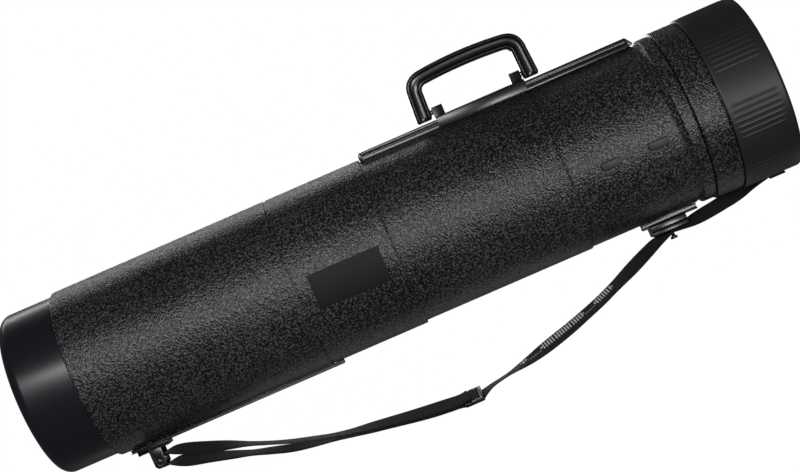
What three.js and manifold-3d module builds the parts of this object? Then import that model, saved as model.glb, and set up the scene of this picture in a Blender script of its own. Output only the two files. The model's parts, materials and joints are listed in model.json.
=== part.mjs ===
// A telescoping drawing tube: a portfolio case for rolled drawings, with a folding
// carry handle on a rail and a shoulder strap under it.
//
// Millimetres, +Z up. Every piece is drawn about the tube's own axis, with x measured
// from the outer face of the bottom cap towards the top cap, and the whole case is then
// placed so that its origin is the hand's grip point, under the bar of the handle.

import * as THREE from "three";
import { mergeVertices } from "three/addons/utils/BufferGeometryUtils.js";
import Module from "manifold-3d";

const wasm = await Module();
wasm.setup();

// ---------------------------------------------------------------- driving dimensions

const GAP = 0.3; // clearance between pieces that touch
const ROUND = 48; // sides of the large turned pieces

// Stations along the tube
const CAP_SEAM = 55; // bottom cap meets the sleeve
const SLEEVE_LINE = 270; // thin moulded line round the sleeve
const SLEEVE_MOUTH = 365;
const TUBE_STEP = 532; // the inner tube narrows here
const NECK_GROOVE = 639.5; // shallow groove before the tube's end bead
const TUBE_END = 654;
const COLLAR_END = 681;
const NECK_END = 728; // mouth of the case, inside the top cap
const LENGTH = 738;

// Radii of the turned pieces
const SLEEVE_R = 82;
const SLEEVE_BORE = 80.5;
const TUBE_R = 79.8;
const TUBE_NARROW_R = 78.4;
const TUBE_WIDE_BORE = 77.6;
const TUBE_BORE = 76.5; // inside the narrower part of the inner tube
const BEAD_R = 80.6;
const COLLAR_R = 82.5;
const NECK_R = 80.4;
const MOUTH_R = 74;
const TOP_CAP_R = 84;
const BOTTOM_CAP_R = 79.2;

const TUBE_START = 73; // bottom end of the inner tube, inside the sleeve
const SPIGOT_END = 70; // how far the bottom cap reaches into the sleeve
const RING_LENGTH = 8; // guide rings at the two ends of the sliding fit
const WALL = 3.5; // thickness of the caps' end plates

// Handle rail, on top of the inner tube
const RAIL_FROM = 370;
const RAIL_TO = 634;
const RAIL_TOP = 86.9;
const FLANGE_HALF = 15; // half the width of the flange that the carrier hooks under
const FLANGE_UNDER = 83.9;
const WEB_HALF = 10;
const FOOT_HALF = 17;
const FOOT_TOP = 81.6;
const RAIL_RIVETS = [395, 500, 608];
const UPPER_RAIL_RIVETS = [585.5, 627]; // through the short strap rail, under the tube
const RIVET_HEAD_R = 3.7;
const RIVET_TAIL = { r: 4.5, thick: 1.4, clear: 0.6 }; // the part inside the tube's bore

// Handle and its carrier
const HANDLE_X = 490; // middle of the handle at rest
const GRIP_UNDER = 124; // underside of the grip bar at its middle
const HANDLE_DEPTH = 14;
const PIN_Z = 95.3;
const PIN_R = 2.3;
const LUG_OUTER = 44.2; // from the middle of the handle to a lug's outer face
const LUG_INNER = 33.6;
const LUG_TOP = 99.2;
const CARRIER_TOP = 89.1;
const CARRIER_HALF = 20;
const CARRIER_SKIRT = 78.7; // height of the carrier's lower edges
const LUG_DEPTH = 15;

// Strap rails and brackets, under the tube
const LOWER_RAIL = { from: 64, to: 279, radius: SLEEVE_R, top: 85.6 };
const UPPER_RAIL = { from: 581, to: 635, radius: TUBE_NARROW_R, top: 83.8 };
const STRAP_RAIL_HALF = 9;
const LOWER_BRACKET = { from: 70, to: 100.5, rail: LOWER_RAIL, bottom: 89.6 };
const UPPER_BRACKET = { from: 587, to: 622, rail: UPPER_RAIL, bottom: 92.6 };
const BRACKET_HALF = 14;
const BAR = { x: 86, z: -101.5, r: 4.4, half: 16.5 };
const STUD = { x: 605.5, r: 1.8, headR: 3.4, headThick: 2.6, top: 87.2, under: 101.5 };

// Shoulder strap
const STRAP_WIDTH = 20;
const STRAP_THICK = 1.4;
const SLIDER = {
  x: 375.5, z: -162.2, length: 19, width: 28, thick: 3.2, slot: 3.6, bar: 4.4, twist: 20,
};

// Label and index lugs, on the side nearest the user; angles in degrees from level
const LABEL = { from: 283.5, to: 352, low: -21.7, high: 1.6, thick: 0.5 };
const INDEX_LUG = { xs: [570.2, 615.6], angle: -10.3, long: 18, wide: 7, tall: 2.4 };

// ---------------------------------------------------------------- materials

const plastic = (color, roughness) => () =>
  new THREE.MeshStandardMaterial({ color, roughness, metalness: 0 });

const grained = plastic(0x19191b, 0.5);
const satin = plastic(0x1c1c20, 0.45);
const ribbed = plastic(0x29272a, 0.55);
const gloss = plastic(0x0f0f10, 0.28);
const blank = plastic(0x121213, 0.4);
const webbing = plastic(0x151515, 0.9);
const foam = plastic(0x2b2b2b, 0.95);
const metal = () => new THREE.MeshStandardMaterial({ color: 0x9a9ca0, roughness: 0.35, metalness: 1 });

// ---------------------------------------------------------------- shape helpers

const X = new THREE.Vector3(1, 0, 0);
const Y = new THREE.Vector3(0, 1, 0);
const Z = new THREE.Vector3(0, 0, 1);
const radians = THREE.MathUtils.degToRad;

const tube = new THREE.Group(); // everything, about the tube's axis

function add(name, geometry, material) {
  const mesh = new THREE.Mesh(geometry, material());
  mesh.name = name;
  tube.add(mesh);
  return mesh;
}

// A piece turned about the tube's axis from [radius, x] points. The outline runs
// anticlockwise: outwards along the low end, up the outside, back down the inside.
function turned(outline) {
  const points = outline.map(([r, x]) => new THREE.Vector2(r, x));
  return new THREE.LatheGeometry(points, ROUND).rotateZ(-Math.PI / 2);
}

// A plain ring with a rectangular section.
function ring(inner, outer, from, to) {
  return turned([[inner, from], [outer, from], [outer, to], [inner, to], [inner, from]]);
}

function disc(radius, from, to) {
  return turned([[0, from], [radius, from], [radius, to], [0, to]]);
}

// A quarter round between two [radius, x] points, seen from its centre.
function quarter([cr, cx], radius, fromAngle, toAngle, steps = 5) {
  return Array.from({ length: steps + 1 }, (_, i) => {
    const a = radians(fromAngle + ((toAngle - fromAngle) * i) / steps);
    return [cr + radius * Math.cos(a), cx + radius * Math.sin(a)];
  });
}

// A section in the y-z plane, run along x.
function alongX(section, from, to) {
  const shape = new THREE.Shape(section.map(([y, z]) => new THREE.Vector2(y, z)));
  const geometry = new THREE.ExtrudeGeometry(shape, { depth: to - from, bevelEnabled: false });
  geometry.applyMatrix4(new THREE.Matrix4().makeBasis(Y, Z, X));
  return geometry.translate(from, 0, 0);
}

// An outline in the x-z plane, run across y and centred on it.
function acrossY(shape, width, options = { bevelEnabled: false }) {
  const bevel = options.bevelThickness ?? 0;
  const depth = width - 2 * bevel;
  const geometry = new THREE.ExtrudeGeometry(shape, { ...options, depth });
  geometry.applyMatrix4(new THREE.Matrix4().makeBasis(X, Z, Y.clone().negate()));
  return geometry.translate(0, depth / 2, 0);
}

function outline(points) {
  return new THREE.Shape(points.map(([x, z]) => new THREE.Vector2(x, z)));
}

// An arc about the tube's axis as [y, z] points, its angle measured from straight up.
function saddle(radius, half, steps = 6) {
  const reach = Math.asin(half / radius);
  return Array.from({ length: steps + 1 }, (_, i) => {
    const a = reach * ((2 * i) / steps - 1);
    return [radius * Math.sin(a), radius * Math.cos(a)];
  });
}

function upright(radius, fromZ, toZ, sides = 16) {
  const geometry = new THREE.CylinderGeometry(radius, radius, toZ - fromZ, sides);
  return geometry.rotateX(Math.PI / 2).translate(0, 0, (fromZ + toZ) / 2);
}

function shaftAlongX(radius, from, to, z, sides = 16) {
  const geometry = new THREE.CylinderGeometry(radius, radius, to - from, sides);
  return geometry.rotateZ(-Math.PI / 2).translate((from + to) / 2, 0, z);
}

function asSolid(geometry) {
  const bare = geometry.clone();
  bare.deleteAttribute("normal");
  bare.deleteAttribute("uv");
  const merged = mergeVertices(bare, 1e-4);
  const vertProperties = Float32Array.from(merged.getAttribute("position").array);
  const triVerts = [];
  const index = merged.getIndex().array;
  for (let i = 0; i < index.length; i += 3) {
    const [a, b, c] = index.subarray(i, i + 3);
    if (a !== b && b !== c && c !== a) triVerts.push(a, b, c);
  }
  const mesh = new wasm.Mesh({ numProp: 3, vertProperties, triVerts: Uint32Array.from(triVerts) });
  return new wasm.Manifold(mesh);
}

function asGeometry(solid) {
  const mesh = solid.getMesh();
  const geometry = new THREE.BufferGeometry();
  geometry.setAttribute("position", new THREE.BufferAttribute(mesh.vertProperties, 3));
  geometry.setIndex(new THREE.BufferAttribute(mesh.triVerts, 1));
  geometry.computeVertexNormals();
  return geometry;
}

function cut(geometry, ...tools) {
  return asGeometry(tools.reduce((left, tool) => left.subtract(asSolid(tool)), asSolid(geometry)));
}

function join(geometry, ...others) {
  return asGeometry(others.reduce((whole, other) => whole.add(asSolid(other)), asSolid(geometry)));
}

// ---------------------------------------------------------------- outer sleeve and bottom cap

const RECESS = SLEEVE_BORE + 0.8; // seat of the mouth ring in the sleeve
const LINE_DEPTH = 0.5;

add("outer_sleeve", turned([
  [SLEEVE_BORE, CAP_SEAM + GAP],
  [SLEEVE_R - 0.5, CAP_SEAM + GAP],
  [SLEEVE_R, CAP_SEAM + 1],
  [SLEEVE_R, SLEEVE_LINE - 0.8],
  [SLEEVE_R - LINE_DEPTH, SLEEVE_LINE],
  [SLEEVE_R, SLEEVE_LINE + 0.8],
  [SLEEVE_R, SLEEVE_MOUTH - 0.5],
  [SLEEVE_R - 0.4, SLEEVE_MOUTH],
  [RECESS, SLEEVE_MOUTH],
  [RECESS, SLEEVE_MOUTH - RING_LENGTH - GAP],
  [SLEEVE_BORE, SLEEVE_MOUTH - RING_LENGTH - GAP],
  [SLEEVE_BORE, CAP_SEAM + GAP],
]), grained);

add("sleeve_mouth_ring", ring(
  TUBE_R + GAP, RECESS - GAP, SLEEVE_MOUTH - RING_LENGTH, SLEEVE_MOUTH,
), foam);

const CAP_ROUND = 10.5; // rounded edge of the bottom cap
add("bottom_cap", turned([
  [0, 0],
  ...quarter([BOTTOM_CAP_R - CAP_ROUND, CAP_ROUND], CAP_ROUND, -90, 0),
  [BOTTOM_CAP_R, CAP_SEAM + GAP],
  [SLEEVE_BORE - GAP, CAP_SEAM + GAP],
  [SLEEVE_BORE - GAP, SPIGOT_END],
  [TUBE_BORE, SPIGOT_END],
  [TUBE_BORE, CAP_ROUND + 1],
  [TUBE_BORE - 7, WALL],
  [0, WALL],
]), satin);

add("bottom_pad", disc(68, WALL + GAP, WALL + 5), foam);

const labelRange = LABEL.high - LABEL.low;
const labelArc = (radius) => Array.from({ length: 7 }, (_, i) => {
  const a = radians(LABEL.low + (labelRange * i) / 6);
  return [-radius * Math.cos(a), radius * Math.sin(a)];
});
const labelInner = SLEEVE_R + GAP;
add("label_plate", alongX(
  [...labelArc(labelInner), ...labelArc(labelInner + LABEL.thick).reverse()], LABEL.from, LABEL.to,
), blank);

// ---------------------------------------------------------------- inner tube and its collar

// Bores for the rivets that hold a rail, above (+1) or below (-1) the axis
const THROUGH = [70, 90]; // heights that reach past the tube's wall and a rail on it
const rivetBores = (xs, side) => xs.map((x) => {
  const bore = upright(PIN_R, ...THROUGH).translate(x, 0, 0);
  return side > 0 ? bore : bore.rotateX(Math.PI);
});

const STOP_SEAT = TUBE_R - 1.2; // where the stop ring sits round the inner tube
add("inner_tube", cut(turned([
  [TUBE_WIDE_BORE, TUBE_START],
  [STOP_SEAT, TUBE_START],
  [STOP_SEAT, TUBE_START + RING_LENGTH + GAP],
  [TUBE_R, TUBE_START + RING_LENGTH + GAP],
  [TUBE_R, TUBE_STEP - 0.5],
  [TUBE_NARROW_R, TUBE_STEP + 0.5],
  [TUBE_NARROW_R, NECK_GROOVE - 2.6],
  [TUBE_NARROW_R - 1.1, NECK_GROOVE],
  [BEAD_R, NECK_GROOVE + 4],
  [BEAD_R, TUBE_END - 0.6],
  [BEAD_R - 0.6, TUBE_END],
  [TUBE_BORE, TUBE_END],
  [TUBE_BORE, TUBE_STEP + 0.5],
  [TUBE_WIDE_BORE, TUBE_STEP - 2],
  [TUBE_WIDE_BORE, TUBE_START],
]), ...rivetBores(RAIL_RIVETS, 1), ...rivetBores(UPPER_RAIL_RIVETS, -1)), grained);

add("tube_stop_ring", ring(
  STOP_SEAT + GAP, SLEEVE_BORE - GAP, TUBE_START, TUBE_START + RING_LENGTH,
), foam);

const COLLAR_START = TUBE_END + 1;
const TONGUE_START = TUBE_END - 20; // the collar's tongue reaches into the inner tube
add("neck_collar", turned([
  [MOUTH_R, TONGUE_START],
  [TUBE_BORE - GAP, TONGUE_START],
  [TUBE_BORE - GAP, COLLAR_START],
  [COLLAR_R - 0.7, COLLAR_START],
  [COLLAR_R, COLLAR_START + 0.7],
  [COLLAR_R, COLLAR_END - 0.7],
  [COLLAR_R - 0.7, COLLAR_END],
  [NECK_R, COLLAR_END],
  [NECK_R, NECK_END],
  [MOUTH_R, NECK_END],
  [MOUTH_R, TONGUE_START],
]), grained);

INDEX_LUG.xs.forEach((x, i) => {
  const lug = new THREE.BoxGeometry(INDEX_LUG.long, INDEX_LUG.tall, INDEX_LUG.wide);
  const reach = TUBE_NARROW_R + GAP + INDEX_LUG.tall / 2;
  lug.translate(0, -reach, 0).rotateX(radians(-INDEX_LUG.angle)).translate(x, 0, 0);
  add(`index_lug_${i + 1}`, lug, satin);
});

// ---------------------------------------------------------------- top cap

const CAP_FROM = COLLAR_END + 0.8;
add("top_cap", turned([
  [0, LENGTH - WALL],
  [NECK_R + 0.4, LENGTH - WALL],
  [NECK_R + 0.4, CAP_FROM],
  [TOP_CAP_R, CAP_FROM],
  [TOP_CAP_R, LENGTH - 2],
  [TOP_CAP_R - 2, LENGTH],
  [0, LENGTH],
]), ribbed);

add("cap_seal", disc(NECK_R - 1, NECK_END + 0.8, LENGTH - WALL - GAP), foam);

// The strap's tail is riveted to the cap's skirt, behind the lowest line of the case.
const ANCHOR = { x: 719, angle: 17, long: 16, wide: 24, thick: 1.2, rivetR: 3, rivetThick: 1.2 };
function onCapSkirt(geometry) {
  return geometry.rotateX(radians(ANCHOR.angle)).translate(ANCHOR.x, 0, 0);
}
const anchorNear = -(TOP_CAP_R + 2 * GAP + STRAP_THICK);
const anchorFar = anchorNear - GAP - ANCHOR.thick;
add("cap_strap_plate", onCapSkirt(
  new THREE.BoxGeometry(ANCHOR.long, ANCHOR.wide, ANCHOR.thick)
    .translate(0, 0, anchorNear - GAP - ANCHOR.thick / 2),
), satin);
add("cap_strap_rivet", onCapSkirt(
  upright(ANCHOR.rivetR, anchorFar - GAP - ANCHOR.rivetThick, anchorFar - GAP),
), metal);

// ---------------------------------------------------------------- handle rail

const mirrored = (side) => [...side, ...side.map(([y, z]) => [-y, z]).reverse()];
const railFoot = saddle(TUBE_R + GAP, FOOT_HALF);
const railSection = [
  ...railFoot,
  ...mirrored([
    [FOOT_HALF, FOOT_TOP],
    [WEB_HALF, FOOT_TOP],
    [WEB_HALF, FLANGE_UNDER],
    [FLANGE_HALF, FLANGE_UNDER],
    [FLANGE_HALF, RAIL_TOP - 0.8],
    [FLANGE_HALF - 0.8, RAIL_TOP],
  ]),
];
const headSeats = RAIL_RIVETS.map((x) =>
  upright(RIVET_HEAD_R + GAP, RAIL_TOP - 2, THROUGH[1]).translate(x, 0, 0));
add("handle_rail", cut(
  alongX(railSection, RAIL_FROM, RAIL_TO), ...rivetBores(RAIL_RIVETS, 1), ...headSeats,
), gloss);

// Sloped stops that close the two ends of the rail
const STOP_FOOT = TUBE_R + 2 * GAP;
add("rail_stop_sleeve_end", acrossY(outline([
  [SLEEVE_MOUTH + 1, STOP_FOOT],
  [RAIL_FROM - GAP, STOP_FOOT],
  [RAIL_FROM - GAP, RAIL_TOP],
  [SLEEVE_MOUTH + 3, RAIL_TOP],
  [SLEEVE_MOUTH + 1, RAIL_TOP - 3],
]), 2 * FLANGE_HALF), gloss);
add("rail_stop_cap_end", acrossY(outline([
  [RAIL_TO + GAP, TUBE_NARROW_R + GAP],
  [RAIL_TO + 5, TUBE_NARROW_R + GAP],
  [RAIL_TO + 5, TUBE_NARROW_R + 2],
  [RAIL_TO + GAP, RAIL_TOP],
]), 2 * FLANGE_HALF), gloss);

// A flush rivet from inside the tube, its shank along z
function rivet(bore, headFrom, headTo) {
  const inside = bore - RIVET_TAIL.clear;
  return join(
    upright(RIVET_TAIL.r, inside - RIVET_TAIL.thick, inside),
    upright(PIN_R - GAP, inside - 0.5, headTo - 0.2),
    upright(RIVET_HEAD_R, headFrom, headTo),
  );
}
RAIL_RIVETS.forEach((x, i) => {
  const bore = x < TUBE_STEP ? TUBE_WIDE_BORE : TUBE_BORE;
  add(`rail_rivet_${i + 1}`, rivet(bore, RAIL_TOP - 1.6, RAIL_TOP - GAP).translate(x, 0, 0), metal);
});

// ---------------------------------------------------------------- handle carrier and handle

const lipTop = FLANGE_UNDER - GAP;
const lipUnder = FOOT_TOP + GAP;
const carrierSection = mirrored([
  [0, CARRIER_TOP],
  [CARRIER_HALF - 1, CARRIER_TOP],
  [CARRIER_HALF, CARRIER_TOP - 1],
  [CARRIER_HALF, CARRIER_SKIRT],
  [FOOT_HALF + 0.5, CARRIER_SKIRT],
  [FOOT_HALF + 0.5, lipUnder],
  [WEB_HALF + GAP, lipUnder],
  [WEB_HALF + GAP, lipTop],
  [FLANGE_HALF + GAP, lipTop],
  [FLANGE_HALF + GAP, RAIL_TOP + GAP],
  [0, RAIL_TOP + GAP],
]);

// Each side of the handle has a lug on the carrier, a pin and a foot; side is -1 or +1.
const lugSpan = (side) => [HANDLE_X + side * LUG_INNER, HANDLE_X + side * LUG_OUTER].sort((a, b) => a - b);
const FOOT_INNER = 46; // from the middle of the handle to a foot's inner face
const FOOT_OUTER = 61.4;
const pinSpan = (side) => [HANDLE_X + side * (LUG_INNER + 3), HANDLE_X + side * (FOOT_OUTER - 4)]
  .sort((a, b) => a - b);
const pinBore = (side) => {
  const [from, to] = pinSpan(side);
  return shaftAlongX(PIN_R + GAP, from - GAP, to + GAP, PIN_Z);
};

const lug = (side) => {
  const [from, to] = lugSpan(side);
  return new THREE.BoxGeometry(to - from, LUG_DEPTH, LUG_TOP - CARRIER_TOP + 0.5)
    .translate((from + to) / 2, 0, (LUG_TOP + CARRIER_TOP - 0.5) / 2);
};
add("handle_carrier", cut(
  join(
    alongX(carrierSection.slice(1, -1), HANDLE_X - LUG_OUTER, HANDLE_X + LUG_OUTER),
    lug(-1),
    lug(1),
  ),
  pinBore(-1),
  pinBore(1),
), gloss);

// The handle is a flat-topped loop with soft corners; z is its height above the axis.
const FOOT_UNDER = PIN_Z - 5.7;
const LOOP_EDGE = 3; // how far the loop's edges are rounded
const handleShape = new THREE.Shape();
handleShape.moveTo(-FOOT_OUTER, FOOT_UNDER);
handleShape.lineTo(-FOOT_INNER, FOOT_UNDER);
handleShape.lineTo(-45, 117);
handleShape.quadraticCurveTo(-44.3, 121.9, -39, 122.3);
handleShape.quadraticCurveTo(0, 2 * GRIP_UNDER - 122.3, 39, 122.3);
handleShape.quadraticCurveTo(44.3, 121.9, 45, 117);
handleShape.lineTo(FOOT_INNER, FOOT_UNDER);
handleShape.lineTo(FOOT_OUTER, FOOT_UNDER);
handleShape.lineTo(59.5, 119);
handleShape.quadraticCurveTo(58, 134.5, 41, 136.3);
handleShape.quadraticCurveTo(0, 141, -41, 136.3);
handleShape.quadraticCurveTo(-58, 134.5, -59.5, 119);
handleShape.closePath();
const handleLoop = acrossY(handleShape, HANDLE_DEPTH, {
  curveSegments: 6,
  bevelThickness: LOOP_EDGE,
  bevelSize: LOOP_EDGE,
  bevelOffset: -LOOP_EDGE,
  bevelSegments: 2,
}).translate(HANDLE_X, 0, 0);
add("carry_handle", cut(handleLoop, pinBore(-1), pinBore(1)), gloss);

for (const [name, side] of [["handle_pin_1", -1], ["handle_pin_2", 1]]) {
  const [from, to] = pinSpan(side);
  add(name, shaftAlongX(PIN_R, from, to, PIN_Z), metal);
}

// ---------------------------------------------------------------- strap rails and brackets

// A low T rail, drawn above the axis and turned under the tube
function strapRail({ from, to, radius, top }) {
  const foot = saddle(radius + GAP, STRAP_RAIL_HALF);
  const under = top - 1.3;
  const web = STRAP_RAIL_HALF - 2.5;
  const section = [
    ...foot,
    ...mirrored([
      [STRAP_RAIL_HALF, radius + 1],
      [web, radius + 1],
      [web, under],
      [STRAP_RAIL_HALF, under],
      [STRAP_RAIL_HALF, top],
    ]),
  ];
  return alongX(section, from, to).rotateX(Math.PI);
}
add("lower_strap_rail", strapRail(LOWER_RAIL), gloss);
const upperSeats = UPPER_RAIL_RIVETS.map((x) =>
  upright(RIVET_HEAD_R + GAP, UPPER_RAIL.top - 1.7, THROUGH[1]).rotateX(Math.PI).translate(x, 0, 0));
add("upper_strap_rail", cut(
  strapRail(UPPER_RAIL), ...rivetBores(UPPER_RAIL_RIVETS, -1), ...upperSeats,
), gloss);
UPPER_RAIL_RIVETS.forEach((x, i) => {
  const piece = rivet(TUBE_BORE, UPPER_RAIL.top - 1.4, UPPER_RAIL.top - GAP).rotateX(Math.PI);
  add(`strap_rail_rivet_${i + 1}`, piece.translate(x, 0, 0), metal);
});

// A bracket clasps a strap rail from below; its plate has two long grooves on each side.
function bracketBody({ from, to, rail, bottom }) {
  const inner = STRAP_RAIL_HALF + GAP;
  const middle = (rail.top + bottom) / 2;
  const side = [
    [inner, rail.top + GAP],
    [inner, rail.top - 1.6],
    [BRACKET_HALF - 1.5, rail.top - 1.6],
    [BRACKET_HALF, rail.top - 0.6],
    [BRACKET_HALF, middle - 0.8],
    [BRACKET_HALF - 1.2, middle],
    [BRACKET_HALF, middle + 0.8],
    [BRACKET_HALF, bottom - 0.8],
    [BRACKET_HALF - 0.8, bottom],
  ];
  return alongX(mirrored(side).reverse(), from, to).rotateX(Math.PI);
}

// The lower bracket's ears hold a bar that the strap loops round.
const EAR_INNER = 11.5;
const EAR_OUTER = BRACKET_HALF;
function ear(side) {
  const width = EAR_OUTER - EAR_INNER;
  const neck = outline([
    [BAR.x - 6, -LOWER_BRACKET.bottom + 0.5],
    [BAR.x - 5.6, BAR.z - 3],
    [BAR.x - 3, BAR.z - 5.8],
    [BAR.x + 3, BAR.z - 5.8],
    [BAR.x + 5.6, BAR.z - 3],
    [BAR.x + 6, -LOWER_BRACKET.bottom + 0.5],
  ]);
  return acrossY(neck, width).translate(0, (side * (EAR_INNER + EAR_OUTER)) / 2, 0);
}
const barAcross = (radius, half) =>
  new THREE.CylinderGeometry(radius, radius, 2 * half, 16).translate(BAR.x, 0, BAR.z);
const BAR_END_R = 2.6; // the bar's turned-down ends, in the ears
add("lower_bracket", cut(
  join(bracketBody(LOWER_BRACKET), ear(-1), ear(1)), barAcross(BAR_END_R + GAP, BAR.half),
), gloss);
add("strap_bar", join(
  barAcross(BAR.r, EAR_INNER - GAP), barAcross(BAR_END_R, EAR_OUTER + 0.8),
), gloss);

add("upper_bracket", cut(
  bracketBody(UPPER_BRACKET),
  upright(STUD.r + GAP, -UPPER_BRACKET.bottom - 1, -STUD.top).translate(STUD.x, 0, 0),
), gloss);
add("strap_stud", join(
  upright(STUD.r, -STUD.under, -STUD.top - GAP, 12),
  upright(STUD.headR, -STUD.under, -STUD.under + STUD.headThick, 12),
).translate(STUD.x, 0, 0), gloss);

// ---------------------------------------------------------------- shoulder strap

const path = (points) => new THREE.CatmullRomCurve3(points.map((p) => new THREE.Vector3(...p)));

// Webbing with its width across the tube, along a path
function strap(points, steps) {
  const half = STRAP_WIDTH / 2;
  const section = outline([
    [-half, -STRAP_THICK / 2],
    [half, -STRAP_THICK / 2],
    [half, STRAP_THICK / 2],
    [-half, STRAP_THICK / 2],
  ]);
  return new THREE.ExtrudeGeometry(section, { steps, extrudePath: path(points), bevelEnabled: false });
}

// From the underside of the bar down to the slider
const LOWER_RUN = [
  [93, 0, -106.6],
  [101.5, 0, -108.6],
  [112, 0, -112],
  [129.5, 0, -117],
  [148, 0, -122.8],
  [166.5, 0, -128.6],
  [185, 0, -134.2],
  [203, 0, -139.4],
  [222, 0, -143.9],
  [241, 0, -147.2],
  [260, 0, -150],
  [278, 0, -152.5],
  [297, 0, -155.2],
  [315, 0, -157.8],
  [334, 0, -160.2],
  [350, 0, -161.8],
  [365.4, 0, -162.9],
];

// The same webbing coming back from the slider over the bar
const RETURN_RUN = [
  [93, 0, -95.9],
  [101.5, 0, -97.4],
  [112, 0, -100.6],
  [129.5, 0, -106.8],
  [148, 0, -113],
  [166.5, 0, -119.6],
  [185, 0, -126.6],
  [203, 0, -132.9],
  [222, 0, -138.4],
  [241, 0, -143.4],
  [260, 0, -147.3],
  [278, 0, -150],
  [297, 0, -152.7],
  [315, 0, -155.3],
  [334, 0, -157.7],
  [350, 0, -159.2],
  [365.4, 0, -160.2],
];

// The single run from the slider up to the upper bracket
const UPPER_RUN = [
  [385.8, 0, -161.2],
  [396, 0, -159.4],
  [407, 0, -157.4],
  [418, 0, -155.4],
  [436, 0, -152],
  [450, 0, -148.6],
  [464, 0, -144.9],
  [483, 0, -139.6],
  [501, 0, -133.8],
  [520, 0, -127.2],
  [538, 0, -119.9],
  [557, 0, -111.8],
  [575, 0, -104],
  [590, 0, -97.9],
  [602.8, 0, -94.3],
];

// The taut tail from the stud to the top cap, drawing away behind the tube
const TAIL = [
  [608.2, 0, -94.3],
  [616, 0, -93.9],
  [624, 0, -93.2],
  [632, 0.5, -92.4],
  [641, 1.8, -91.4],
  [650, 3.6, -90.4],
  [659, 6, -89.3],
  [668, 8.8, -88.2],
  [677, 12, -87],
  [686, 15.4, -86.2],
  [695, 18.6, -85.4],
  [704, 21.4, -84.8],
  [709.6, 22.9, -84.5],
];

add("strap_lower_run", strap(LOWER_RUN, 22), webbing);
add("strap_return_run", strap(RETURN_RUN, 22), webbing);
add("strap_upper_run", strap(UPPER_RUN, 20), webbing);
add("strap_tail", strap(TAIL, 14), webbing);

// A three-bar slide with two slots for the webbing
const slotLong = STRAP_WIDTH + 1.4;
const sliderPlate = new THREE.BoxGeometry(SLIDER.length, SLIDER.width, SLIDER.thick);
const slot = (side) => new THREE.BoxGeometry(SLIDER.slot, slotLong, 2 * SLIDER.thick)
  .translate((side * (SLIDER.slot + SLIDER.bar)) / 2, 0, 0);
add("strap_slider", cut(sliderPlate, slot(-1), slot(1))
  .rotateX(radians(SLIDER.twist)).translate(SLIDER.x, 0, SLIDER.z), gloss);

// ---------------------------------------------------------------- placed by the grip

tube.position.set(-HANDLE_X, 0, -GRIP_UNDER);
const group = new THREE.Group();
group.add(tube);

export default group;
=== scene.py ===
"""A telescoping drawing tube held up by its carry handle, with its shoulder strap hanging.

Lengths in the outlines below are millimetres about the tube's own axis, with x measured
from the bottom end, as the CAD model has them; at() turns them into the frame's metres.
"""

import json
import math

import bmesh
import bpy
import numpy as np
from mathutils import Matrix, Vector, noise


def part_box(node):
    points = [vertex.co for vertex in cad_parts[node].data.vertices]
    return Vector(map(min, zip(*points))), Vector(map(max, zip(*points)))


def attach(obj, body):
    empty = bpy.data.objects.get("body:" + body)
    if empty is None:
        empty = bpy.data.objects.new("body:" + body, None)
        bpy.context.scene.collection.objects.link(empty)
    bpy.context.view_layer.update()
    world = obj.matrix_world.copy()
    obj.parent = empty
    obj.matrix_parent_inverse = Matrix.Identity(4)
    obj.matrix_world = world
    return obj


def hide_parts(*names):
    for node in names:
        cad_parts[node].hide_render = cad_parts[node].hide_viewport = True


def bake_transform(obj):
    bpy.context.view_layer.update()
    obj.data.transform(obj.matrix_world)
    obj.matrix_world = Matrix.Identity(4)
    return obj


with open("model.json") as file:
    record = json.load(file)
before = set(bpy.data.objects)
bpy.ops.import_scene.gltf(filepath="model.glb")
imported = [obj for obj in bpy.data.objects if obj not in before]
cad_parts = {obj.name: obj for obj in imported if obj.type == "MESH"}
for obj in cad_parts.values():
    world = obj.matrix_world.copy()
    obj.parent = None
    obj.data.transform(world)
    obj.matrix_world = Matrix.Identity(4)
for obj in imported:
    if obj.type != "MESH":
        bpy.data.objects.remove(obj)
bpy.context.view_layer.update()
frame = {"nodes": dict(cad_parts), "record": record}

MM = 0.001
low_cap, high_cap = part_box("bottom_cap")
ORIGIN = Vector((low_cap[0], 0.0, (low_cap[2] + high_cap[2]) / 2))


def at(x, y, z):
    """A point in millimetres about the tube's axis, as a point of the frame in metres."""
    return ORIGIN + Vector((x, y, z)) * MM


def station(node, side):
    """Where a CAD node starts (0) or ends (1) along the tube, in millimetres."""
    return (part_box(node)[side][0] - ORIGIN.x) / MM


def outer_radius(node):
    low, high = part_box(node)
    return (high[1] - low[1]) / 2 / MM


# ---------------------------------------------------------------- camera

CAMERA_DISTANCE = 1650
CAMERA_X = 396  # the station that the camera stands square to
AIM_X = 372.5
AIM_Z = 1.9
ROLL = math.radians(-23.46)
FIELD = math.radians(25.4)


def make_camera():
    data = bpy.data.cameras.new("camera")
    data.sensor_width = 36
    data.lens = data.sensor_width / 2 / math.tan(FIELD / 2)
    camera = bpy.data.objects.new("camera", data)
    bpy.context.scene.collection.objects.link(camera)
    place = at(CAMERA_X, -CAMERA_DISTANCE, AIM_Z)
    look = (at(AIM_X, 0, AIM_Z) - place).to_track_quat("-Z", "Y").to_matrix().to_4x4()
    camera.matrix_world = Matrix.Translation(place) @ look @ Matrix.Rotation(ROLL, 4, "Z")
    bpy.context.scene.camera = camera


make_camera()

# ---------------------------------------------------------------- materials


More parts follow.
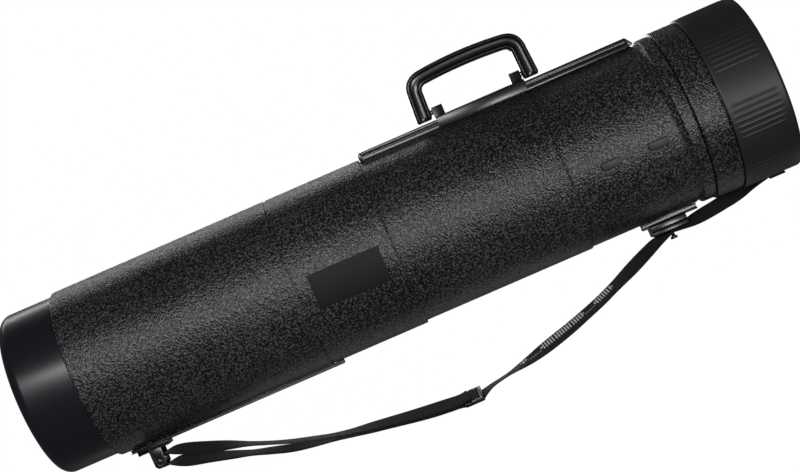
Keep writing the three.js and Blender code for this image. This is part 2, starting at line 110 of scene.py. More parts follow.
class Nodes:
    """Short calls for building one material's nodes."""

    def __init__(self, name):
        self.material = bpy.data.materials.new(name)
        self.material.use_nodes = True
        self.tree = self.material.node_tree
        self.shader = self.tree.nodes["Principled BSDF"]
        self.place = self.add("ShaderNodeTexCoord").outputs["Object"]

    def add(self, kind, inputs=None, **settings):
        node = self.tree.nodes.new(kind)
        for key, value in settings.items():
            setattr(node, key, value)
        for key, value in (inputs or {}).items():
            self.feed(node.inputs[key], value)
        return node

    def feed(self, socket, value):
        if isinstance(value, bpy.types.NodeSocket):
            self.tree.links.new(value, socket)
        else:
            socket.default_value = value

    def set(self, **values):
        for key, value in values.items():
            self.feed(self.shader.inputs[key.replace("_", " ")], value)

    def noise(self, scale, detail=3, place=None, roughness=0.5):
        inputs = {"Vector": place or self.place, "Scale": scale, "Detail": detail, "Roughness": roughness}
        return self.add("ShaderNodeTexNoise", inputs).outputs["Fac"]

    def voronoi(self, scale, feature="F1"):
        inputs = {"Vector": self.place, "Scale": scale}
        return self.add("ShaderNodeTexVoronoi", inputs, feature=feature).outputs["Distance"]

    def stretch(self, x, y, z):
        inputs = {"Vector": self.place, "Scale": (x, y, z)}
        return self.add("ShaderNodeMapping", inputs).outputs["Vector"]

    def math(self, operation, a, b):
        node = self.add("ShaderNodeMath", operation=operation)
        self.feed(node.inputs[0], a)
        self.feed(node.inputs[1], b)
        return node.outputs[0]

    def mixed(self, a, b, share):
        """The given share of a, with the rest from b."""
        return self.math("ADD", self.math("MULTIPLY", a, share), self.math("MULTIPLY", b, 1 - share))

    def ramp(self, value, *stops):
        node = self.add("ShaderNodeValToRGB", {"Fac": value})
        ramp = node.color_ramp
        while len(ramp.elements) < len(stops):
            ramp.elements.new(0.5)
        for element, (position, color) in zip(ramp.elements, stops, strict=True):
            element.position = position
            element.color = (*color, 1.0)
        return node.outputs["Color"]

    def spread(self, value, low, high):
        inputs = {"Value": value, "To Min": low, "To Max": high}
        return self.add("ShaderNodeMapRange", inputs).outputs["Result"]

    def bump(self, height, distance, strength=1.0):
        inputs = {"Height": height, "Distance": distance, "Strength": strength}
        return self.add("ShaderNodeBump", inputs).outputs["Normal"]


def grained_plastic():
    """Black plastic with a moulded leather grain: fine relief, whose high spots get pale flecks painted
    into the colour as painted glints.
    """
    n = Nodes("grained_plastic")
    pebble = n.voronoi(520, "SMOOTH_F1")
    speckle = n.noise(580, 1)
    broad = n.noise(9, 3)
    height = n.math("SUBTRACT", speckle, n.math("MULTIPLY", pebble, 0.4))
    # The colour is paler where the fine noise stands high, as painted glints on the grain's high spots; a
    # little random tone comes from the broad noise.
    glint_fleck = n.mixed(broad, speckle, 0.15)
    n.set(Base_Color=n.ramp(glint_fleck, (0.47, (0.003, 0.003, 0.003)), (0.64, (0.085, 0.085, 0.087))),
          Roughness=n.spread(n.mixed(pebble, broad, 0.5), 0.24, 0.38),
          Normal=n.bump(height, 0.00062), Specular_IOR_Level=0.45)
    return n.material


def satin_plastic(name, color, rough, specular=0.5):
    """Smooth moulded plastic with faint flow marks and handling wear."""
    n = Nodes(name)
    cloud = n.noise(14, 4)
    fine = n.noise(900, 3)
    scuff = n.noise(60, 6, n.stretch(0.15, 1, 1), 0.7)
    darker = tuple(c * 0.75 for c in color)
    n.set(Base_Color=n.ramp(cloud, (0.3, darker), (0.7, color)),
          Roughness=n.spread(n.mixed(cloud, scuff, 0.6), rough - 0.07, rough + 0.09),
          Normal=n.bump(fine, 0.00003, 0.6), Specular_IOR_Level=specular)
    return n.material


def webbing_cloth():
    """Woven webbing; the colour attribute "weave" holds its white threads."""
    n = Nodes("webbing")
    mapped = n.add("ShaderNodeUVMap", uv_map="along").outputs["UV"]
    across = n.add("ShaderNodeTexWave", {"Vector": mapped, "Scale": 260.0, "Distortion": 0.6},
                   wave_type="BANDS", bands_direction="Y").outputs["Fac"]
    along = n.add("ShaderNodeTexWave", {"Vector": mapped, "Scale": 210.0, "Distortion": 0.8},
                  wave_type="BANDS", bands_direction="X").outputs["Fac"]
    weave = n.math("MULTIPLY", n.math("ADD", across, along), 0.5)
    white = n.add("ShaderNodeAttribute", attribute_name="weave").outputs["Fac"]
    thread = n.ramp(weave, (0.15, (0.003, 0.003, 0.003)), (0.85, (0.012, 0.012, 0.0125)))
    mix = n.add("ShaderNodeMix", data_type="RGBA")
    n.feed(mix.inputs["Factor"], white)
    n.feed(mix.inputs["A"], thread)
    n.feed(mix.inputs["B"], n.ramp(weave, (0.1, (0.62, 0.62, 0.62)), (0.6, (0.90, 0.90, 0.89))))
    n.set(Base_Color=mix.outputs["Result"], Roughness=n.spread(weave, 0.75, 0.92),
          Normal=n.bump(weave, 0.0004, 0.7), Sheen_Weight=0.06, Sheen_Roughness=0.5,
          Specular_IOR_Level=0.3)
    return n.material


def foam_sheet():
    """Dark closed-cell foam, for the pads, the seal and the guide rings."""
    n = Nodes("foam")
    cells = n.voronoi(1400)
    n.set(Base_Color=n.ramp(cells, (0.1, (0.012, 0.012, 0.012)), (0.6, (0.05, 0.05, 0.05))),
          Roughness=n.spread(cells, 0.85, 0.97), Normal=n.bump(cells, 0.0003, 0.8))
    return n.material


def brushed_steel():
    """Steel with a faint brushing, for the rivets and the handle's pins."""
    n = Nodes("steel")
    brushed = n.noise(500, 4, n.stretch(1, 8, 8))
    n.set(Base_Color=n.ramp(brushed, (0.2, (0.30, 0.30, 0.31)), (0.8, (0.42, 0.42, 0.43))),
          Roughness=n.spread(brushed, 0.28, 0.42), Normal=n.bump(brushed, 0.00002), Metallic=1.0)
    return n.material


GRAINED = grained_plastic()
SATIN = satin_plastic("satin_plastic", (0.010, 0.010, 0.016), 0.30)
RIBBED = satin_plastic("cap_plastic", (0.018, 0.017, 0.0175), 0.46)
MOULDED = satin_plastic("moulded_plastic", (0.006, 0.006, 0.0065), 0.22)
LABEL = satin_plastic("label_plastic", (0.007, 0.007, 0.007), 0.58, specular=0.3)
WEBBING = webbing_cloth()
FOAM = foam_sheet()
STEEL = brushed_steel()

# ---------------------------------------------------------------- mesh helpers


SHARP_OVER = 35  # degrees between two faces, from which their edge is shaded sharp


def new_piece(name, vertices, faces, material, body, nodes):
    mesh = bpy.data.meshes.new(name)
    mesh.from_pydata([tuple(v) for v in vertices], [], faces)
    mesh.update()
    piece = bpy.data.objects.new(name, mesh)
    bpy.context.scene.collection.objects.link(piece)
    return finish_piece(piece, material, body, nodes)


def finish_piece(piece, material, body, nodes):
    """Shades a piece, hangs it on the body that carries it, and hides the CAD nodes it stands for."""
    piece.data.materials.clear()
    piece.data.materials.append(material)
    piece.data.polygons.foreach_set("use_smooth", [True] * len(piece.data.polygons))
    piece.data.set_sharp_from_angle(angle=math.radians(SHARP_OVER))
    if body:
        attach(piece, body)
    if nodes:
        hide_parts(*nodes)
    return piece


GRAIN_FROM = 77.65  # faces nearer the axis than this are inside the tubes, and smooth
GRAIN_RELIEF = 0.16
GRAIN_ALONG = 0.75  # cells of the noise in a millimetre along the tube
GRAIN_AROUND = 61  # cells of the noise in a radian round it


def refine(outline, step):
    """The outline with points added, so that its outer stretches have none longer than step."""
    points = []
    for (r0, x0), (r1, x1) in zip(outline, outline[1:], strict=False):
        outer = min(r0, r1) > GRAIN_FROM
        parts = math.ceil(math.hypot(r1 - r0, x1 - x0) / step) if outer and step else 1
        points += [(r0 + (r1 - r0) * i / parts, x0 + (x1 - x0) * i / parts) for i in range(parts)]
    return [*points, outline[-1]]


def turned(name, outline, sides, material, body, nodes, relief=None, step=None):
    """A piece turned about the tube's axis from (radius, x) points, anticlockwise.

    An outline that starts and ends on the axis closes there; any other closes on itself.
    relief(angle, r, x) is added to each point's radius.
    """
    on_axis = outline[0][0] == 0
    points = refine(outline if on_axis else [*outline, outline[0]], step)
    if not on_axis:
        points = points[:-1]
    body_points = points[1:-1] if on_axis else points
    count = len(body_points)
    vertices = []
    for k in range(sides):
        a = 2 * math.pi * k / sides
        for r, x in body_points:
            rr = r + (relief(a, r, x) if relief else 0.0)
            vertices.append(at(x, rr * math.sin(a), rr * math.cos(a)))
    faces = []
    for k in range(sides):
        here, there = k * count, (k + 1) % sides * count
        for i in range(count - 1 if on_axis else count):
            j = (i + 1) % count
            faces.append((here + i, here + j, there + j, there + i))
    if on_axis:
        vertices += [at(points[0][1], 0, 0), at(points[-1][1], 0, 0)]
        first, last = len(vertices) - 2, len(vertices) - 1
        for k in range(sides):
            here, there = k * count, (k + 1) % sides * count
            faces.append((first, here, there))
            faces.append((last, there + count - 1, here + count - 1))
    return new_piece(name, vertices, faces, material, body, nodes)


def quarter(center, radius, from_angle, to_angle, steps):
    """An arc as (radius, x) points, its angles in degrees from straight out towards +X."""
    r, x = center
    angles = [math.radians(from_angle + (to_angle - from_angle) * i / steps) for i in range(steps + 1)]
    return [(r + radius * math.cos(a), x + radius * math.sin(a)) for a in angles]


def grain(angle, r, x):
    """The coarse part of the leather grain, as real relief on the outer faces."""
    if r < GRAIN_FROM:
        return 0.0
    off_lattice = 0.7
    return GRAIN_RELIEF * noise.noise(Vector((x * GRAIN_ALONG, angle * GRAIN_AROUND, off_lattice)))


def softened(node, width, material):
    """A CAD node's own shape with its sharp edges rounded, standing for the node."""
    source = frame["nodes"][node]
    body = next(b for b, nodes in frame["record"]["behaviour"]["bodies"].items() if node in nodes)
    mesh = source.data.copy()
    mesh.transform(source.matrix_world)
    work = bmesh.new()
    work.from_mesh(mesh)
    bmesh.ops.remove_doubles(work, verts=work.verts, dist=1e-6)
    bmesh.ops.dissolve_limit(work, angle_limit=math.radians(2), verts=work.verts, edges=work.edges)
    sharp = [e for e in work.edges if len(e.link_faces) == 2 and e.calc_face_angle(0) > math.radians(32)]
    bmesh.ops.bevel(work, geom=sharp, offset=width * MM, segments=2, profile=0.6,
                    affect="EDGES", clamp_overlap=True)
    bmesh.ops.recalc_face_normals(work, faces=work.faces)
    work.to_mesh(mesh)
    work.free()
    piece = bpy.data.objects.new(f"{node}_moulding", mesh)
    bpy.context.scene.collection.objects.link(piece)
    return finish_piece(piece, material, body, [node])


# ---------------------------------------------------------------- turned shells

SEAM = station("outer_sleeve", 0)
MOUTH = station("outer_sleeve", 1)
TUBE_FROM = station("inner_tube", 0)
TUBE_TO = station("inner_tube", 1)
CAP_FROM = station("top_cap", 0)
END = station("top_cap", 1)
SLEEVE_R = outer_radius("outer_sleeve")
COLLAR_R = outer_radius("neck_collar")
TOP_R = outer_radius("top_cap")

GRAIN_STEP = 1.5
GRAIN_SIDES = 344
SMOOTH_SIDES = 192


def outer_sleeve():
    line = 270  # where the thin moulded line goes round
    bore, recess = 80.5, 81.3
    ring_seat = MOUTH - 8.3
    turned("sleeve_shell", [
        (bore, SEAM), (SLEEVE_R - 0.9, SEAM), (SLEEVE_R - 0.3, SEAM + 0.3), (SLEEVE_R, SEAM + 1.2),
        (SLEEVE_R, line - 0.9), (SLEEVE_R - 0.9, line - 0.5), (SLEEVE_R - 0.9, line + 0.5),
        (SLEEVE_R, line + 0.9), (SLEEVE_R, MOUTH - 1.0), (SLEEVE_R - 0.2, MOUTH - 0.3),
        (SLEEVE_R - 0.5, MOUTH), (recess, MOUTH), (recess, ring_seat), (bore, ring_seat),
    ], GRAIN_SIDES, GRAINED, "outer_sleeve", ["outer_sleeve"], grain, GRAIN_STEP)


def inner_tube():
    step, groove = 532, 639.5
    wide_r, narrow_r, bead_r = 79.8, 78.4, 80.6
    wide_bore, narrow_bore, ring_recess = 77.6, 76.5, 78.6
    ring_end = TUBE_FROM + 8.3
    turned("tube_shell", [
        (wide_bore, TUBE_FROM), (ring_recess, TUBE_FROM), (ring_recess, ring_end), (wide_r, ring_end),
        (wide_r, step - 0.6), (wide_r - 0.3, step - 0.1), (narrow_r - 0.4, step + 0.2),
        (narrow_r - 0.4, step + 0.7), (narrow_r, step + 1.1), (narrow_r, groove - 2.7),
        (narrow_r - 0.9, groove - 1.2), (narrow_r - 1.2, groove), (narrow_r - 0.5, groove + 1.4),
        (bead_r - 0.3, groove + 3.2), (bead_r, groove + 4.2), (bead_r, TUBE_TO - 1),
        (bead_r - 0.3, TUBE_TO - 0.3), (bead_r - 0.9, TUBE_TO), (narrow_bore, TUBE_TO),
        (narrow_bore, step + 0.5), (wide_bore, step - 2),
    ], GRAIN_SIDES, GRAINED, "inner_tube", ["inner_tube"], grain, GRAIN_STEP)


def neck_collar():
    start, shoulder = TUBE_TO + 1, CAP_FROM - 0.8
    tongue, mouth = station("neck_collar", 0), station("neck_collar", 1)
    bore, tongue_r, neck_r = 74, 76.2, 80.4

    def ring_grain(angle, r, x):
        return grain(angle, r, x) if start < x < shoulder - 1 else 0.0

    turned("collar_shell", [
        (bore, tongue), (tongue_r, tongue), (tongue_r, start), (COLLAR_R - 1.0, start),
        (COLLAR_R - 0.3, start + 0.3), (COLLAR_R, start + 1.1), (COLLAR_R, shoulder - 1.1),
        (COLLAR_R - 0.3, shoulder - 0.3), (COLLAR_R - 1.0, shoulder), (neck_r, shoulder),
        (neck_r, mouth - 0.8), (neck_r - 0.6, mouth), (bore + 0.6, mouth), (bore, mouth - 0.6),
    ], GRAIN_SIDES, GRAINED, "inner_tube", ["neck_collar"], ring_grain, GRAIN_STEP)


def bottom_cap():
    radius, edge, wall = 79.2, 10.5, 3.5
    spigot_r, bore = 80.2, 76.5
    spigot = station("bottom_cap", 1)
    dish = [(0, 0.5), (50, 0.5), (52, 0.15), (54, 0)]
    turned("bottom_cap_shell", [
        *dish, *quarter((radius - edge, edge), edge, -90, 0, 14), (radius, SEAM),
        (spigot_r, SEAM), (spigot_r, spigot - 0.6), (spigot_r - 0.6, spigot), (bore + 0.5, spigot),
        (bore, spigot - 0.5), (bore, edge + 1), (bore - 1, 7), (bore - 4, 4.4), (bore - 7, wall),
        (0, wall),
    ], SMOOTH_SIDES, SATIN, "outer_sleeve", ["bottom_cap"])


def top_cap():
    groups, ribs, pitch = 8, 7, math.radians(3.6)
    first_group = math.radians(270 - 17.5)
    rib_from, rib_to, height = CAP_FROM + 3, END - 7, 0.45
    rib_half_width, sunk = math.radians(0.55), 0.02
    bore, edge, sides = 80.8, 3, 900

    def ribs_on_skirt(angle, r, x):
        if r < TOP_R - 0.1 or not rib_from < x < rib_to:
            return 0.0
        sector = 2 * math.pi / groups
        off = (angle - first_group + sector / 2) % sector - sector / 2
        k = round(off / pitch + (ribs - 1) / 2)
        if not 0 <= k < ribs:
            return 0.0
        from_rib = (off - (k - (ribs - 1) / 2) * pitch) / rib_half_width
        fade = min(1.0, (x - rib_from) / 3, (rib_to - x) / 4)
        return height * fade * math.exp(-from_rib * from_rib) - sunk

    skirt = [(TOP_R, x) for x in np.linspace(CAP_FROM + 1.2, END - 3.2, 36)]
    turned("top_cap_shell", [
        (0, END - 3.5), (bore - 1, END - 3.5), (bore, END - 4.3), (bore, CAP_FROM + 0.5),
        (bore + 0.4, CAP_FROM), (TOP_R - 0.9, CAP_FROM), (TOP_R - 0.25, CAP_FROM + 0.3), *skirt,
        *quarter((TOP_R - edge, END - edge), edge, 0, 90, 6), (62, END), (60.5, END - 0.7), (0, END - 0.7),
    ], sides, RIBBED, "top_cap", ["top_cap"], ribs_on_skirt)


for make in (outer_sleeve, inner_tube, neck_collar, bottom_cap, top_cap):
    make()


def grid_box(columns, rows):
    """Faces of a thin closed plate: a grid of points outside, the same grid inside."""
    across = rows + 1
    inside = (columns + 1) * across
    faces = []
    for i in range(columns):
        for j in range(rows):
            a = i * across + j
            faces.append((a, a + across, a + across + 1, a + 1))
            faces.append((inside + a, inside + a + 1, inside + a + across + 1, inside + a + across))
    rim = [i * across for i in range(columns)]
    rim += [columns * across + j for j in range(rows)]
    rim += [i * across + rows for i in range(columns, 0, -1)]
    rim += list(range(rows, 0, -1))
    for a, b in zip(rim, rim[1:] + rim[:1], strict=True):
        faces.append((a, inside + a, inside + b, b))
    return faces


LABEL_LOW = 21.7  # degrees below the middle of the tube's front
LABEL_HIGH = 1.6  # degrees above it


def label():
    """The blank label: a thin smooth rectangle with rounded corners, wrapped on the sleeve."""
    x0, x1 = station("label_plate", 0), station("label_plate", 1)
    a0, a1 = math.radians(270 - LABEL_LOW), math.radians(270 + LABEL_HIGH)
    inner, outer, corner = SLEEVE_R + 0.15, SLEEVE_R + 0.62, 1.6
    edge_width, edge_drop = 0.8, 0.18
    rows, columns = 20, 30
    vertices = []
    for radius in (outer, inner):
        for i in range(columns + 1):
            for j in range(rows + 1):
                u, v = 2 * i / columns - 1, 2 * j / rows - 1
                half_x, half_v = (x1 - x0) / 2, (a1 - a0) / 2 * outer
                px, pv = u * half_x, v * half_v
                cx, cv = max(abs(px) - half_x + corner, 0), max(abs(pv) - half_v + corner, 0)
                reach = math.hypot(cx, cv)
                if reach > corner:
                    px -= math.copysign(cx * (1 - corner / reach), px)
                    pv -= math.copysign(cv * (1 - corner / reach), pv)
                a = (a0 + a1) / 2 + pv / outer
                edge = min(1.0, (half_x - abs(px)) / edge_width, (half_v - abs(pv)) / edge_width)
                r = radius - (edge_drop * (1 - edge) if radius == outer else 0)
                vertices.append(at((x0 + x1) / 2 + px, r * math.sin(a), r * math.cos(a)))
    faces = grid_box(columns, rows)
    new_piece("label_blank", vertices, faces, LABEL, "outer_sleeve", ["label_plate"])


label()

# ---------------------------------------------------------------- handle

HANDLE_X = (station("carry_handle", 0) + station("carry_handle", 1)) / 2
FOOT_UNDER = (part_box("carry_handle")[0][2] - ORIGIN.z) / MM


def bezier(a, control, b, t):
    return tuple((1 - t) ** 2 * p + 2 * t * (1 - t) * c + t * t * q
                 for p, c, q in zip(a, control, b, strict=True))


def handle_line(foot, bend_from, bend_control, bend_to, top_control):
    """One edge of the handle's loop, foot to foot, as points with the same spacing rule."""
    legs = [tuple(foot[k] + (bend_from[k] - foot[k]) * t for k in (0, 1)) for t in np.linspace(0, 1, 16)]
    corner = [bezier(bend_from, bend_control, bend_to, t) for t in np.linspace(0, 1, 16)[1:]]
    half_top = [bezier(bend_to, top_control, (-bend_to[0], bend_to[1]), t)
                for t in np.linspace(0, 0.5, 13)[1:]]
    left = legs + corner + half_top
    return left + [(-x, z) for x, z in reversed(left[:-1])]


def carry_handle():
    outer = handle_line((-61.4, FOOT_UNDER), (-59.5, 119), (-58, 134.5), (-41, 136.3), (0, 141))
    inner = handle_line((-46, FOOT_UNDER), (-45, 117), (-44.3, 121.9), (-39, 122.3), (0, 125.7))
    around, squareness, half_depth = 96, 5.5, 7.0
    grooves, groove_depth, groove_width = (0.27, 0.5, 0.73), 1.7, 0.055
    section = []
    for k in range(around):
        a = 2 * math.pi * k / around
        c, d = math.cos(a), math.sin(a)
        u = 0.5 + 0.5 * math.copysign(abs(c) ** (2 / squareness), c)
        y = half_depth * math.copysign(abs(d) ** (2 / squareness), d)
        dip = sum(math.exp(-(((u - g) / groove_width) ** 2)) for g in grooves)
        y -= math.copysign(groove_depth * dip, y) if abs(y) > half_depth * 0.6 else 0
        section.append((u, y))
    count = len(outer)
    vertices = []
    for i, ((ox, oz), (ix, iz)) in enumerate(zip(outer, inner, strict=True)):
        from_foot = min(i, count - 1 - i)
        shrink = {0: 0.84, 1: 0.985}.get(from_foot, 1.0)
        for u, y in section:
            uu = 0.5 + (u - 0.5) * shrink
            vertices.append(at(HANDLE_X + ix + (ox - ix) * uu, y * shrink, iz + (oz - iz) * uu))
    faces = []
    for i in range(count - 1):
        for k in range(around):
            j = (k + 1) % around
            a, b = i * around, (i + 1) * around
            faces.append((a + k, b + k, b + j, a + j))
    faces.append(tuple(range(around)))
    faces.append(tuple(reversed(range((count - 1) * around, count * around))))
    new_piece("handle_loop", vertices, faces, MOULDED, "carry_handle", ["carry_handle"])


carry_handle()

# ---------------------------------------------------------------- mouldings kept from the CAD

for node, width in {
    "handle_carrier": 0.5, "handle_rail": 0.35, "rail_stop_sleeve_end": 0.5, "rail_stop_cap_end": 0.4,
    "lower_strap_rail": 0.3, "upper_strap_rail": 0.3, "lower_bracket": 0.4, "upper_bracket": 0.4,
    "strap_stud": 0.5, "strap_slider": 0.6,
}.items():
    softened(node, width, MOULDED)
softened("index_lug_1", 0.4, RIBBED)
softened("index_lug_2", 0.4, RIBBED)
softened("strap_bar", 0.3, MOULDED)
softened("cap_strap_plate", 0.4, SATIN)

KEPT = {
    FOAM: ("sleeve_mouth_ring", "tube_stop_ring", "bottom_pad", "cap_seal"),
    STEEL: ("rail_rivet_1", "rail_rivet_2", "rail_rivet_3", "strap_rail_rivet_1",
            "strap_rail_rivet_2", "cap_strap_rivet", "handle_pin_1", "handle_pin_2"),
}
for material, nodes in KEPT.items():
    for node in nodes:
        frame["nodes"][node].data.materials.clear()
        frame["nodes"][node].data.materials.append(material)

# ---------------------------------------------------------------- shoulder strap

STRAP_WIDTH = 20.0
STRAP_THICK = 1.4

# Each route is (x, y, z, twist): the twist is in degrees from lying flat under the tube.
LOWER_RUN = [
    (93, 0, -106.6, 4), (101.5, 0, -108.6, 22), (112, 0, -112, 27), (129.5, 0, -117, 22),
    (148, 0, -122.8, 16), (166.5, 0, -128.6, 9), (185, 0, -134.2, 13), (203, 0, -139.4, 15),
    (222, 0, -143.9, 9), (241, 0, -147.2, 5), (260, 0, -150, 9), (278, 0, -152.5, 15),
    (297, 0, -155.2, 18), (315, 0, -157.8, 21), (334, 0, -160.2, 24), (350, 0, -161.8, 24),
    (361, 0, -162.9, 22), (367.5, 0, -164.2, 20), (371.3, 0, -162.3, 20), (375.5, 0, -159.7, 20),
    (379.7, 0, -162.3, 20), (384, 0, -163.9, 19),
]
RETURN_RUN = [
    (93, 0, -95.9, 3), (101.5, 0, -97.4, 18), (112, 0, -100.6, 25), (129.5, 0, -106.8, 25),
    (148, 0, -113, 18), (166.5, 0, -119.6, 6), (185, 0, -126.6, 3), (203, 0, -132.9, 4),
    (222, 0, -138.4, 5), (241, 0, -143.4, 5), (260, 0, -147.3, 9), (278, 0, -150, 15),
    (297, 0, -152.7, 18), (315, 0, -155.3, 21), (334, 0, -157.7, 24), (350, 0, -159.2, 24),
    (361, 0, -160.0, 22), (367.5, 0, -159.6, 20), (372, 0, -158.6, 20),
]
UPPER_RUN = [
    (384, 0, -163.9, 19), (388, 0, -162.4, 12), (396, 0, -159.6, 5), (407, 0, -157.4, 2),
    (418, 0, -155.4, 4), (436, 0, -152, 17), (450, 0, -148.6, 25), (464, 0, -144.9, 28),
    (483, 0, -139.6, 27), (501, 0, -133.8, 25), (520, 0, -127.2, 24), (538, 0, -119.9, 24),
    (557, 0, -111.8, 30), (575, 0, -104, 29), (590, 0, -97.9, 22), (605.5, 0, -94.2, 6),
]
TAIL = [
    (605.5, 0, -94.2, 6), (616, 0, -93.9, 14), (624, 0, -93.2, 24), (632, 0.5, -92.4, 31),
    (641, 1.8, -91.4, 34), (650, 3.6, -90.4, 35), (659, 6, -89.3, 35), (668, 8.8, -88.4, 34),
    (677, 12, -87.2, 31), (686, 15.4, -85.9, 23), (695, 18.6, -84.5, 19), (704, 21.4, -83.1, 17.5),
    (711, 23.4, -82.0, 17), (722, 25.1, -81.4, 17),
]


def spline(values, t):
    """Catmull-Rom through the rows of values, at t between 0 and 1."""
    last = len(values) - 1
    i = min(int(t * last), last - 1)
    f = t * last - i
    p0, p1, p2, p3 = (np.array(values[min(max(i + k, 0), last)], float) for k in (-1, 0, 1, 2))
    return 0.5 * (2 * p1 + (p2 - p0) * f + (2 * p0 - 5 * p1 + 4 * p2 - p3) * f**2
                  + (3 * p1 - p0 - 3 * p2 + p3) * f**3)


def evenly(route, step):
    """The route's spline as (x, y, z, twist) rows a fixed step apart, in millimetres."""
    fine = np.array([spline(route, t) for t in np.linspace(0, 1, 40 * len(route))])
    along = np.concatenate([[0], np.cumsum(np.linalg.norm(np.diff(fine[:, :3], axis=0), axis=1))])
    wanted = np.linspace(0, along[-1], round(along[-1] / step) + 1)
    return np.column_stack([np.interp(wanted, along, fine[:, k]) for k in range(4)]), along[-1]


LADDERS = ((45, 53), (69, 122), (134, 158))  # millimetres from the slider
LADDER_MIDDLE, LADDER_HALF = 3.6, 4.6
RUNG_PITCH, RUNG_SHARE = 2.9, 0.5
DASH_MIDDLE, DASH_PITCH = -0.6, 1.5
THREAD_HALF = 0.5


def ladder(along, across):
    """1 where the webbing's woven pattern is white: rungs in groups, with dashes between them."""
    first, last = LADDERS[0][0] - 6, LADDERS[-1][1]
    if not first < along < last:
        return 0.0
    for start, end in LADDERS:
        if start <= along <= end:
            near_end = min(along - start, end - along)
            half = LADDER_HALF * min(1.0, 0.25 + near_end / 4.5)
            rung = (along - start) % RUNG_PITCH < RUNG_PITCH * RUNG_SHARE
            from_middle = abs(across - LADDER_MIDDLE)
            spine = from_middle < THREAD_HALF and near_end < 4
            return float(from_middle < half and (rung or spine))
    return float(abs(across - DASH_MIDDLE) < THREAD_HALF and along % DASH_PITCH < DASH_PITCH / 2)


def ribbon(name, route, body, nodes, pattern=None):
    """Webbing along a route: a closed flat band, finely divided, with crowned faces."""
    rows, length = evenly(route, 0.7 if pattern else 1.2)
    cells = 20 if pattern else 10
    centres = rows[:, :3]
    tangents = np.gradient(centres, axis=0)
    tangents /= np.linalg.norm(tangents, axis=1)[:, None]
    side = [(2 * k / cells - 1) for k in range(cells + 1)]
    band = [(u, 1) for u in side] + [(u, -1) for u in reversed(side)]
    around = len(band)
    vertices = []
    for centre, tangent, twist in zip(centres, tangents, rows[:, 3], strict=True):
        flat = np.array([0.0, 1.0, 0.0]) - tangent * tangent[1]
        flat /= np.linalg.norm(flat)
        up = np.cross(tangent, flat)
        a = math.radians(twist)
        width_way = flat * math.cos(a) + up * math.sin(a)
        thick_way = up * math.cos(a) - flat * math.sin(a)
        for u, v in band:
            crown = STRAP_THICK / 2 * (1 - 0.45 * abs(u) ** 6)
            vertices.append(at(*(centre + width_way * u * STRAP_WIDTH / 2 + thick_way * v * crown)))
    faces = []
    for i in range(len(rows) - 1):
        for k in range(around):
            j = (k + 1) % around
            a, b = i * around, (i + 1) * around
            faces.append((a + k, a + j, b + j, b + k))
    faces.append(tuple(reversed(range(around))))
    faces.append(tuple(range((len(rows) - 1) * around, len(rows) * around)))
    piece = new_piece(name, vertices, faces, WEBBING, body, nodes)
    step = length / (len(rows) - 1)
    uv = piece.data.uv_layers.new(name="along")
    for loop in piece.data.loops:
        i, k = divmod(loop.vertex_index, around)
        uv.data[loop.index].uv = (i * step * MM, band[k][0] * STRAP_WIDTH / 2 * MM)
    white = piece.data.attributes.new("weave", "FLOAT", "FACE")
    if pattern:
        values = []
        for f in range(len(piece.data.polygons)):
            i, k = divmod(f, around)
            across = (band[k][0] + band[(k + 1) % around][0]) / 2 * STRAP_WIDTH / 2
            values.append(pattern((i + 0.5) * step, across) if i < len(rows) - 1 else 0.0)
        white.data.foreach_set("value", values)
    return piece, [at(*c) for c in centres], length


def strap():
    lower, lower_path, lower_length = ribbon(
        "webbing_lower_run", LOWER_RUN, "outer_sleeve", ["strap_lower_run"])
    back, back_path, back_length = ribbon(
        "webbing_return_run", RETURN_RUN, "outer_sleeve", ["strap_return_run"])
    upper, upper_path, upper_length = ribbon(
        "webbing_upper_run", UPPER_RUN, None, ["strap_upper_run"], ladder)
    tail, tail_path, tail_length = ribbon("webbing_tail", TAIL, None, ["strap_tail"])
    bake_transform(upper)
    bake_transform(tail)
    wrap, _, _ = ribbon("webbing_bar_wrap", bar_wrap(), "outer_sleeve", [])
    lengths = (lower_length, back_length, upper_length, tail_length)
    print("strap lengths, mm:", [round(v, 1) for v in lengths])


def bar_wrap():
    """The webbing's turn round the bar, from the return run's end to the lower run's."""
    x, z = 86.0, -101.5
    reach = 5.7
    turn = [(x - reach * math.sin(a), 0, z + reach * math.cos(a), 0)
            for a in np.linspace(0.1, math.pi - 0.1, 9)]
    return [(93.4, 0, -95.9, 3), *turn, (93.4, 0, -106.7, 4)]


strap()

# ---------------------------------------------------------------- stage and lights

FLOOR_DROP = 900
FLOOR_RADIUS = 8500
DOME_RADIUS = 9000


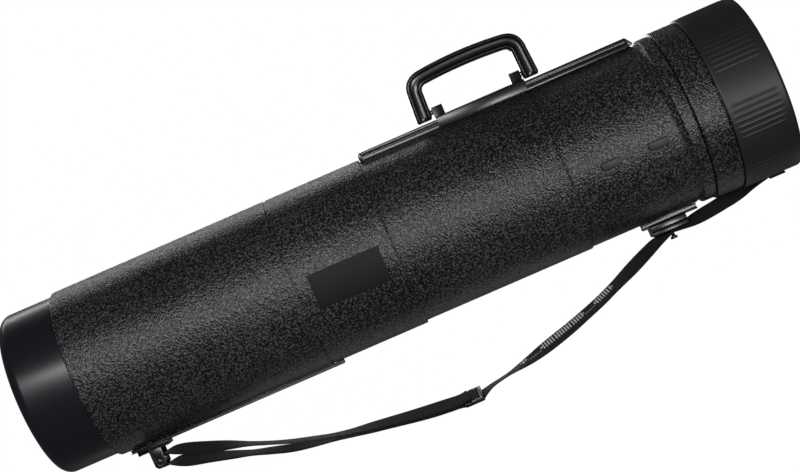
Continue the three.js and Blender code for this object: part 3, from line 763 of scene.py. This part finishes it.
def stage():
    """A white floor and backdrop that only the camera sees, so that they light nothing."""
    floor_mesh = bpy.data.meshes.new("floor")
    work = bmesh.new()
    bmesh.ops.create_circle(work, cap_ends=True, segments=96, radius=FLOOR_RADIUS * MM)
    work.to_mesh(floor_mesh)
    work.free()
    floor = bpy.data.objects.new("floor", floor_mesh)
    floor.location = at(AIM_X, 0, -FLOOR_DROP)
    pale = Nodes("pale_floor")
    pale.set(Base_Color=(0.08, 0.08, 0.08, 1), Roughness=1.0,
             Emission_Color=(1, 1, 1, 1), Emission_Strength=1.0)
    floor.data.materials.append(pale.material)

    dome_mesh = bpy.data.meshes.new("backdrop")
    work = bmesh.new()
    bmesh.ops.create_icosphere(work, subdivisions=4, radius=DOME_RADIUS * MM)
    work.to_mesh(dome_mesh)
    work.free()
    dome = bpy.data.objects.new("backdrop", dome_mesh)
    dome.location = at(AIM_X, 0, 0)
    white = Nodes("white_backdrop")
    white.set(Base_Color=(0, 0, 0, 1), Roughness=1.0, Emission_Color=(1, 1, 1, 1), Emission_Strength=1.0)
    dome.data.materials.append(white.material)
    for thing in (floor, dome):
        thing.visible_diffuse = thing.visible_glossy = thing.visible_shadow = False
        thing.visible_transmission = thing.visible_volume_scatter = False
        bpy.context.scene.collection.objects.link(thing)


def softbox(name, place, target, size, power, roll=0.0):
    """A rectangular light at place, turned to target; size and places in millimetres."""
    data = bpy.data.lights.new(name, "AREA")
    data.shape = "RECTANGLE"
    data.size, data.size_y = size[0] * MM, size[1] * MM
    data.energy = power
    light = bpy.data.objects.new(name, data)
    aim = (at(*target) - at(*place)).to_track_quat("-Z", "Y").to_matrix().to_4x4()
    light.matrix_world = Matrix.Translation(at(*place)) @ aim @ Matrix.Rotation(math.radians(roll), 4, "Z")
    bpy.context.scene.collection.objects.link(light)


def lights():
    """Two boxes in front draw the long highlight; three behind edge the tube and fill its back."""
    world = bpy.data.worlds.new("studio")
    world.use_nodes = True
    background = world.node_tree.nodes["Background"]
    background.inputs["Color"].default_value = (1, 1, 1, 1)
    background.inputs["Strength"].default_value = 0.085
    bpy.context.scene.world = world
    softbox("front_left", (-80, -2000, 467), (371, 0, 0), (1080, 200), 15, roll=-39)
    softbox("front_right", (1000, -2000, -411), (371, 0, 0), (640, 240), 12, roll=-39)
    softbox("rim_back", (0, 1220, 1080), (330, 0, 40), (1500, 160), 4.5)
    softbox("rim_low", (450, 1000, -1200), (371, 0, 0), (1500, 300), 0.8)
    softbox("back_fill", (450, 2200, 350), (371, 0, 0), (1800, 400), 10)


stage()
lights()
bpy.context.scene.view_settings.view_transform = "Standard"
